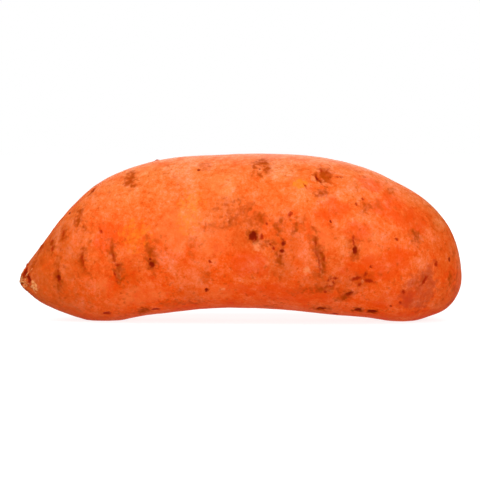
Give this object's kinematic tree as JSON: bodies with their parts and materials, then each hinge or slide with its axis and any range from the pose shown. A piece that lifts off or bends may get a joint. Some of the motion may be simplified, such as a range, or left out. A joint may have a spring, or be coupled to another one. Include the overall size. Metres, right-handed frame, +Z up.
{
  "type": "sweet potato",
  "caption": "Whole orange-skinned sweet potato, bowed like an arch, tapering to a dry tip at one end and blunt at the other, resting on its underside.",
  "frame": {"origin": "on the table, under the middle of the root's box", "axes": "+Z up; +X along the root from its pointed dry tip to its blunt round end; -Y is the front"},
  "size_m": [0.165, 0.0582, 0.0623],
  "materials": {
    "skin": "dry, thin, mottled orange root skin with brown corky scars, faint satin sheen"
  },
  "bodies": {
    "root": {"sweet_potato": "skin"}
  },
  "joints": []
}
